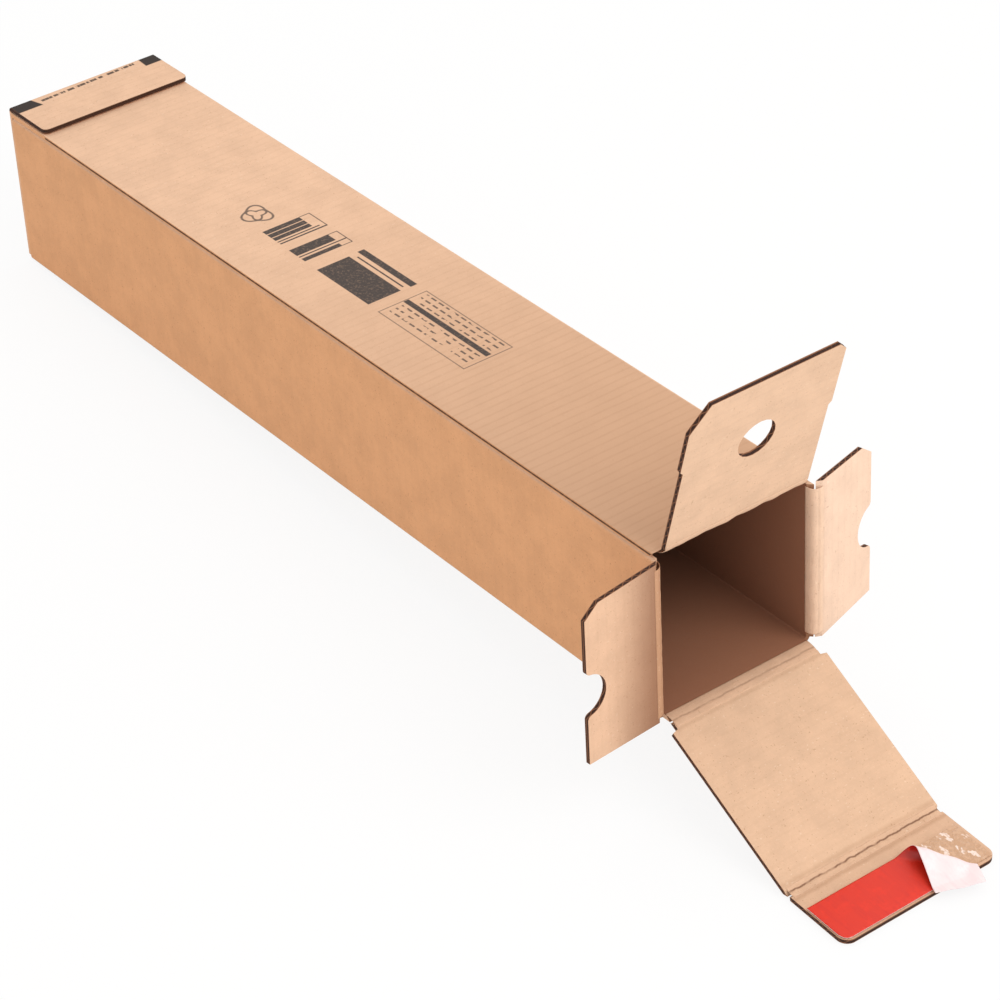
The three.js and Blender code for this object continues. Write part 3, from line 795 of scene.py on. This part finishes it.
def floor_square():
    """A level square just below the box."""
    size = FLOOR_HALF
    low = FLOOR_LEVEL
    corners = [(-size, -size, low), (size, -size, low), (size, size, low), (-size, size, low)]
    mesh = bpy.data.meshes.new("floor")
    mesh.from_pydata(corners, [], [(0, 1, 2, 3)])
    mesh.materials.append(floor_paint())
    return bpy.data.objects.new("floor", mesh)


def studio_world(fill):
    """An even warm light all round, plain white to the camera."""
    world = bpy.data.worlds.new("studio")
    world.use_nodes = True
    sky = world.node_tree
    ground = sky.nodes["Background"]
    ground.inputs["Color"].default_value = SKY_COLOR
    ground.inputs["Strength"].default_value = fill
    plain = sky.nodes.new("ShaderNodeBackground")
    plain.inputs["Color"].default_value = WHITE
    plain.inputs["Strength"].default_value = 1.0
    both = sky.nodes.new("ShaderNodeMixShader")
    sky.links.new(seen_share(sky, 1.0), both.inputs[0])
    sky.links.new(ground.outputs[0], both.inputs[1])
    sky.links.new(plain.outputs[0], both.inputs[2])
    sky.links.new(both.outputs[0], sky.nodes["World Output"].inputs["Surface"])
    return world


def soft_light(name, at, aim, side, power, color):
    """A square soft light that stands at one place and points at another."""
    data = bpy.data.lights.new(name, "AREA")
    data.shape = "SQUARE"
    data.size = side
    data.energy = power
    data.color = color
    light = bpy.data.objects.new(name, data)
    light.location = at
    light.rotation_mode = "QUATERNION"
    light.rotation_quaternion = (Vector(aim) - Vector(at)).to_track_quat("-Z", "Y")
    return light


def photo_camera():
    """The camera at the photograph's viewing angle."""
    data = bpy.data.cameras.new("camera")
    data.lens = CAMERA_LENS
    data.sensor_width = 36.0
    data.clip_end = 50.0
    azimuth = math.radians(CAMERA_AZIMUTH)
    elevation = math.radians(CAMERA_ELEVATION)
    back = Vector((
        math.cos(azimuth) * math.cos(elevation),
        math.sin(azimuth) * math.cos(elevation),
        math.sin(elevation),
    ))
    right = Vector((-math.sin(azimuth), math.cos(azimuth), 0.0))
    turn = Matrix((right, back.cross(right), back)).transposed().to_4x4()
    turn.translation = Vector(CAMERA_AT)
    camera = bpy.data.objects.new("camera", data)
    camera.matrix_world = turn
    return camera


class TUBEBOX_OT_stage(bpy.types.Operator):
    """Floor, lights and camera"""

    bl_idname = "tubebox.stage"
    bl_label = "Stage"

    def execute(self, context):
        scene = context.scene
        look = scene.stage_look
        floor = floor_square()
        scene.collection.objects.link(floor)
        scene.world = studio_world(look.fill)
        # Name, place, aim, side, power and colour.
        lights = (
            ("key", (1.5, 0.5, 1.6), (0.1, 0.0, 0.05), 1.4, look.key, (1.0, 0.97, 0.93)),
            ("top", (-0.5, 0.2, 1.9), (-0.2, 0.0, 0.08), 1.2, look.key * 0.22, (1.0, 0.96, 0.92)),
        )
        for light in lights:
            lamp = soft_light(*light)
            scene.collection.objects.link(lamp)
        camera = photo_camera()
        scene.collection.objects.link(camera)
        scene.camera = camera
        scene.view_settings.view_transform = "Standard"
        return {"FINISHED"}


class TUBEBOX_PT_panel(bpy.types.Panel):
    """Lists the steps that dress the box"""

    bl_idname = "TUBEBOX_PT_panel"
    bl_label = "Tube box"
    bl_space_type = "VIEW_3D"
    bl_region_type = "UI"
    bl_category = "Tube box"

    def draw(self, context):
        column = self.layout.column()
        for name in ("liner", "ink", "film", "ripple"):
            column.prop(context.scene.box_look, name)
        for name in ("key", "fill"):
            column.prop(context.scene.stage_look, name)
        for step in STEPS:
            column.operator(step.bl_idname)


STEPS = (
    TUBEBOX_OT_tube,
    TUBEBOX_OT_flaps,
    TUBEBOX_OT_creases,
    TUBEBOX_OT_cover,
    TUBEBOX_OT_stage,
)
CLASSES = (BoxLook, StageLook) + STEPS + (TUBEBOX_PT_panel,)


def register():
    for cls in CLASSES:
        bpy.utils.register_class(cls)
    bpy.types.Scene.box_look = PointerProperty(type=BoxLook)
    bpy.types.Scene.stage_look = PointerProperty(type=StageLook)


def unregister():
    del bpy.types.Scene.stage_look
    del bpy.types.Scene.box_look
    for cls in reversed(CLASSES):
        bpy.utils.unregister_class(cls)


def main():
    register()
    bpy.ops.tubebox.tube()
    bpy.ops.tubebox.flaps()
    bpy.ops.tubebox.creases()
    bpy.ops.tubebox.cover()
    bpy.ops.tubebox.stage()


if __name__ == "__main__":
    main()
